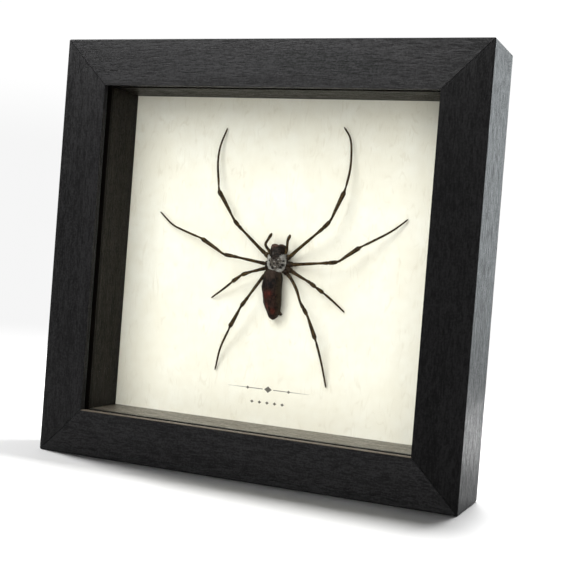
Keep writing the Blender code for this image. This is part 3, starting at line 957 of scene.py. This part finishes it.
def spider():
    """The dried animal, in five pieces that take the place of its one solid."""
    belly = abdomen(abdomen_skin())
    front = head(carapace_skin())
    legs, rows = limbs(leg_skin())
    dark = bristle_skin("dark_bristle", (0.012, 0.008, 0.006), (0.04, 0.03, 0.02))
    silver = bristle_skin("silver_down", (0.20, 0.195, 0.18), (0.60, 0.59, 0.55))
    for piece in (belly, front, legs, bristles(rows, dark), down(front, silver)):
        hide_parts("spider")


# Studio


def aim(thing, target):
    thing.rotation_euler = (target - thing.location).to_track_quat("-Z", "Y").to_euler()


def softbox(name, place, target, size, watts, colour=(1.0, 1.0, 1.0)):
    """A flat light whose size is a width and a height, hidden from the camera."""
    lamp = bpy.data.lights.new(name, "AREA")
    lamp.shape = "RECTANGLE"
    lamp.size, lamp.size_y = size
    lamp.energy = watts
    lamp.color = colour
    made = bpy.data.objects.new(name, lamp)
    bpy.context.collection.objects.link(made)
    made.location = place
    made.visible_camera = False
    aim(made, Vector(target))
    return made


def light_group(name, things, state):
    """A collection that lets a light reach only the things in it, or all but them."""
    group = bpy.data.collections.new(name)
    for number, thing in enumerate(things):
        group.objects.link(thing)
        group.collection_objects[number].light_linking.link_state = state
    return group


def studio(ground):
    """Two softboxes light the picture, a cool panel and a small glow the right side, and a strip
    the top rail. The top light gives the floor its shadow, and the left light reaches only the
    floor, so that the shadow fades there.
    """
    middle = (0, 0, MIDDLE_Z)
    rail_nodes = [node for name, node in nodes.items() if name.startswith("rail")]
    not_floor = light_group("all_but_floor", [ground], "EXCLUDE")
    rails = light_group("rails_only", rail_nodes, "INCLUDE")
    main = softbox("main_light", (-0.26, -0.70, 0.68), middle, size=(0.60, 0.80), watts=10.2)
    fill = softbox("low_fill", (0.34, -0.84, 0.18), middle, size=(0.60, 0.36), watts=2.9)
    side = softbox(
        "side_panel", (1.0, 1.15, 0.45), (0.1, 0, 0.1), size=(1.5, 1.1), watts=36,
        colour=(0.93, 1.0, 1.03),
    )
    glow = softbox("side_glow", (0.15, 0.10, 0.012), (0.1, 0, 0.012), size=(0.09, 0.035), watts=0.045)
    strip = softbox(
        "strip_light", (-0.09, -0.06, 0.235), (-0.07, -0.0185, 0.185), size=(0.36, 0.02), watts=0.48
    )
    for light in (main, fill, side):
        light.light_linking.receiver_collection = not_floor
    for light in (strip, glow):
        light.light_linking.receiver_collection = rails
    softbox("top_light", (0.09, 0.155, 1.10), (0.09, 0.155, 0), size=(0.12, 0.16), watts=20)
    left = softbox("left_light", (-0.60, 0.13, 0.50), (0, 0, 0), size=(0.16, 0.16), watts=7.6)
    left.light_linking.receiver_collection = light_group("floor_only", [ground], "INCLUDE")


def floor():
    """A pale matte sheet under the frame, which isn't part of the object."""
    bm = bmesh.new()
    bmesh.ops.create_grid(bm, x_segments=1, y_segments=1, size=FLOOR_REACH)
    bmesh.ops.translate(bm, vec=(0, FLOOR_BACK, 0), verts=bm.verts)
    mesh = bpy.data.meshes.new("studio_floor")
    bm.to_mesh(mesh)
    bm.free()
    made = bpy.data.objects.new("studio_floor", mesh)
    bpy.context.collection.objects.link(made)
    paint = Finish("pale_floor", Roughness=0.55)
    grey, pale_grey = (0.63, 0.63, 0.63), (0.67, 0.67, 0.67)
    mesh.materials.append(paint.wear(paint.mix(paint.cloud(paint.place(), 6.0), grey, pale_grey)))
    return made


def surroundings():
    """White to the camera, with a painted grey shade on the left. As light, bright behind and dim in
    front.
    """
    world = bpy.data.worlds.new("studio_room")
    bpy.context.scene.world = world
    paint = Paint(world)
    side, back, up = paint.parts(paint.node("ShaderNodeTexCoord", output="Generated"))
    room = paint.ease(back, -0.3, 0.6, 0.05, 0.45)
    # A painted grey shade on the backdrop, low on the left of the frame, seen only by the camera
    shade_band = paint.ease(up, 0.17, 0.08) * paint.ease(up, -0.092, -0.07)
    backdrop_with_shade = 1.03 - paint.ease(side, -0.42, -0.54, 0.0, 0.11) * shade_band
    seen = paint.node("ShaderNodeLightPath", output="Is Camera Ray")
    strength = seen * backdrop_with_shade + (1.0 - seen) * room
    paint.feed(paint.nodes["Background"].inputs["Color"], (1.0, 1.0, 1.0))
    paint.feed(paint.nodes["Background"].inputs["Strength"], strength)


def camera():
    """The photographer's place, a little to the right and level with the frame's middle."""
    data = bpy.data.cameras.new("camera")
    data.sensor_width = CAMERA_SENSOR
    data.lens = CAMERA_LENS
    made = bpy.data.objects.new("camera", data)
    bpy.context.collection.objects.link(made)
    place = Matrix.Translation(CAMERA_PLACE)
    yaw = Matrix.Rotation(math.radians(CAMERA_YAW), 4, "Z")
    pitch = Matrix.Rotation(math.radians(90 - CAMERA_TILT_DOWN), 4, "X")
    roll = Matrix.Rotation(math.radians(CAMERA_ROLL), 4, "Z")
    made.matrix_world = place @ yaw @ pitch @ roll
    bpy.context.scene.camera = made


camera()
surroundings()
studio(floor())
dress_frame()
spider()
bpy.context.scene.view_settings.view_transform = "Standard"
